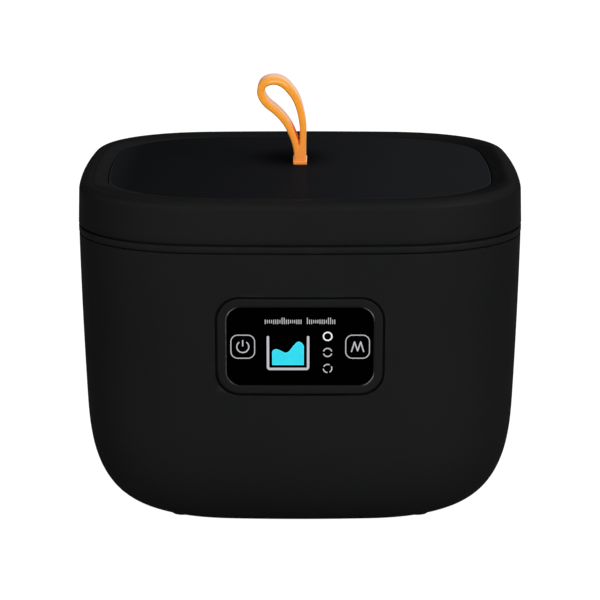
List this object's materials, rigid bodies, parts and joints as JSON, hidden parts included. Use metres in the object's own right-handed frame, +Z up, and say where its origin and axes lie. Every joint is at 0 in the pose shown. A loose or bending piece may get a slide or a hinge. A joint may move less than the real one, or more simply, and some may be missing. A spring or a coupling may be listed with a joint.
{
  "type": "ultrasonic cleaner",
  "caption": "Household ultrasonic cleaner: rounded-square housing with a steel tank and basket, a lift-off lid with a finger strap, a front touch display and a transducer below.",
  "frame": {"origin": "on the ground under the middle of the object", "axes": "+Z up, -Y towards the display side, +X to the right when facing the display"},
  "size_m": [0.18, 0.1512, 0.1789],
  "materials": {
    "black_abs": "fine satin moulded black",
    "black_panel": "satin black with a soft sheen",
    "black_trim": "smooth satin black",
    "smoked_lens": "polished near-black lens",
    "orange_silicone": "soft satin orange",
    "grey_silicone": "soft grey",
    "rubber": "matt black",
    "stainless": "drawn and brushed",
    "aluminium": "turned",
    "zinc_steel": "zinc plated",
    "brass": "plain",
    "piezo": "fired ceramic",
    "circuit_board": "green solder mask",
    "light_guide": "milky",
    "grey_basket": "moulded grey",
    "ferrite": "dark",
    "sleeve_blue": "shrink sleeve",
    "wire_red": "pvc insulation",
    "wire_black": "pvc insulation",
    "wire_white": "pvc insulation"
  },
  "bodies": {
    "housing": {"base_plate": "black_abs", "base_screw_left_front": "zinc_steel", "base_screw_left_rear": "zinc_steel", "base_screw_right_front": "zinc_steel", "base_screw_right_rear": "zinc_steel", "board_screw_left_front": "zinc_steel", "board_screw_left_rear": "zinc_steel", "board_screw_right_front": "zinc_steel", "board_screw_right_rear": "zinc_steel", "body_shell": "black_abs", "display_bezel": "black_trim", "display_board": "circuit_board", "display_cable": "wire_white", "display_lens": "smoked_lens", "display_light_guide": "light_guide", "display_screw_left": "zinc_steel", "display_screw_right": "zinc_steel", "driver_board": "circuit_board", "electrode_lower": "brass", "electrode_upper": "brass", "filter_capacitor": "sleeve_blue", "filter_choke": "ferrite", "foot_left_front": "rubber", "foot_left_rear": "rubber", "foot_right_front": "rubber", "foot_right_rear": "rubber", "heat_sink": "aluminium", "inlet_pin_left": "brass", "inlet_pin_right": "brass", "mains_fuse": "light_guide", "mode_touch_spring": "zinc_steel", "piezo_ring_lower": "piezo", "piezo_ring_upper": "piezo", "power_inlet": "black_trim", "power_lead": "wire_black", "power_touch_spring": "zinc_steel", "power_transistor": "ferrite", "tank": "stainless", "tank_gasket": "grey_silicone", "transducer_back_mass": "zinc_steel", "transducer_bolt": "zinc_steel", "transducer_front_mass": "aluminium", "transducer_lead_ground": "wire_black", "transducer_lead_hot": "wire_red", "transformer": "ferrite", "trim_ring": "black_trim"},
    "lid": {"lid_shell": "black_abs", "lid_top_panel": "black_panel", "lid_liner": "black_trim", "lid_seal": "grey_silicone", "strap_root": "orange_silicone", "strap_anchor_plate": "zinc_steel", "anchor_screw_left": "zinc_steel", "anchor_screw_right": "zinc_steel"},
    "strap": {"strap_loop": "orange_silicone"},
    "basket": {"basket": "grey_basket"}
  },
  "joints": [
    {"name": "lid_lift", "type": "slide", "parent": "housing", "child": "lid", "axis": [0, 0, 1], "range_m": [0, 0.18]},
    {"name": "basket_lift", "type": "slide", "parent": "housing", "child": "basket", "axis": [0, 0, 1], "range_m": [0, 0.09]},
    {"name": "strap_flex", "type": "hinge", "parent": "lid", "child": "strap", "pos_m": [0, 0, 0.1472], "axis": [0, 1, 0], "range_deg": [-55, 75]}
  ],
  "couplings": [
    {"joint": "basket_lift", "follows": "lid_lift", "ratio": 0.5}
  ]
}
